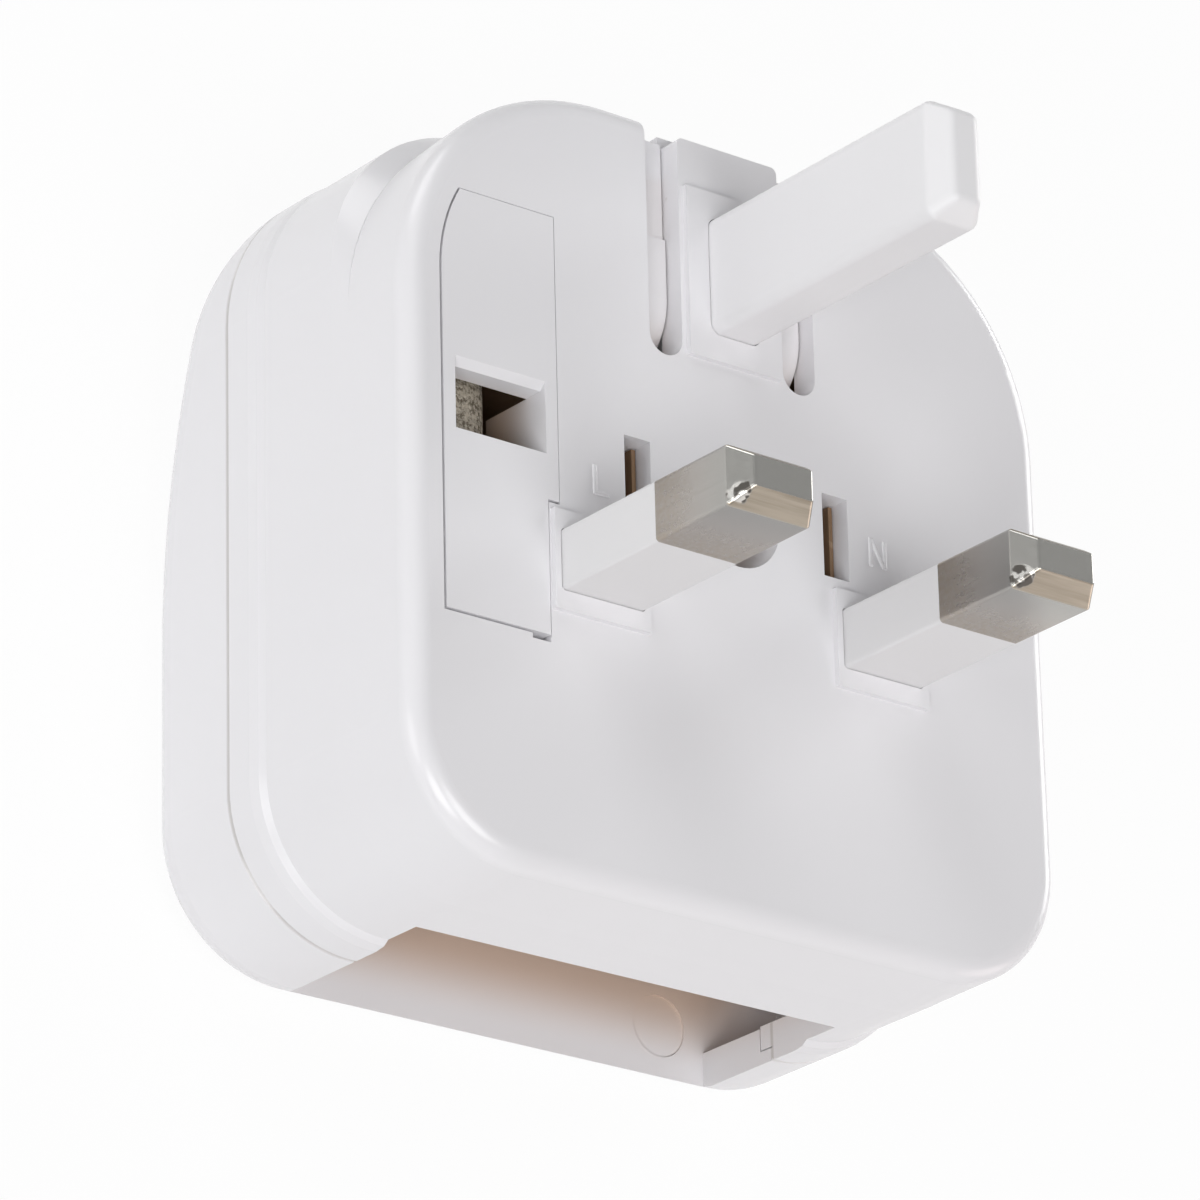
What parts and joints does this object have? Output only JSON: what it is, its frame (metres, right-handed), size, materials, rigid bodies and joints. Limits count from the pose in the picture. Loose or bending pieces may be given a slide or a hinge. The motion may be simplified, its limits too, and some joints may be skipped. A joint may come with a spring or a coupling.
{
  "type": "plug conversion adapter",
  "caption": "White conversion plug with flat rectangular pins, a pull-out fuse carrier and a hollow case that closes round a flat two-pin plug and lets its cable out below.",
  "frame": {"origin": "centre of the outline at the flat back of the cover", "axes": "+Z along the pins, out of the pin face; +Y from the cable outlet towards the earth pin; +X from the live pin to the neutral pin"},
  "size_m": [0.0518, 0.0532, 0.0498],
  "materials": {
    "case_plastic": "polished white moulding",
    "inner_plastic": "plain white moulding, unseen inside",
    "pin_plastic": "satin white moulding",
    "nickel_plate": "nickel plate over brass",
    "ceramic": "unglazed ceramic with a printed mark worn to a mottle",
    "copper_alloy": "bare copper alloy strip",
    "zinc_steel": "zinc plate"
  },
  "bodies": {
    "case": {"front_housing": "case_plastic", "rear_cover": "case_plastic", "contact_cover": "inner_plastic", "earth_pin": "pin_plastic", "live_pin": "nickel_plate", "neutral_pin": "nickel_plate", "live_pin_sleeve": "pin_plastic", "neutral_pin_sleeve": "pin_plastic", "lower_fuse_clip": "copper_alloy", "upper_fuse_clip": "copper_alloy", "live_contact": "copper_alloy", "neutral_contact": "copper_alloy", "case_screw": "zinc_steel"},
    "fuse_drawer": {"fuse_carrier": "case_plastic", "fuse_tube": "ceramic", "fuse_cap_upper": "nickel_plate", "fuse_cap_lower": "nickel_plate"}
  },
  "joints": [
    {"name": "fuse_drawer_slide", "type": "slide", "parent": "case", "child": "fuse_drawer", "axis": [0, 0, 1], "range_m": [0, 0.0095]}
  ]
}
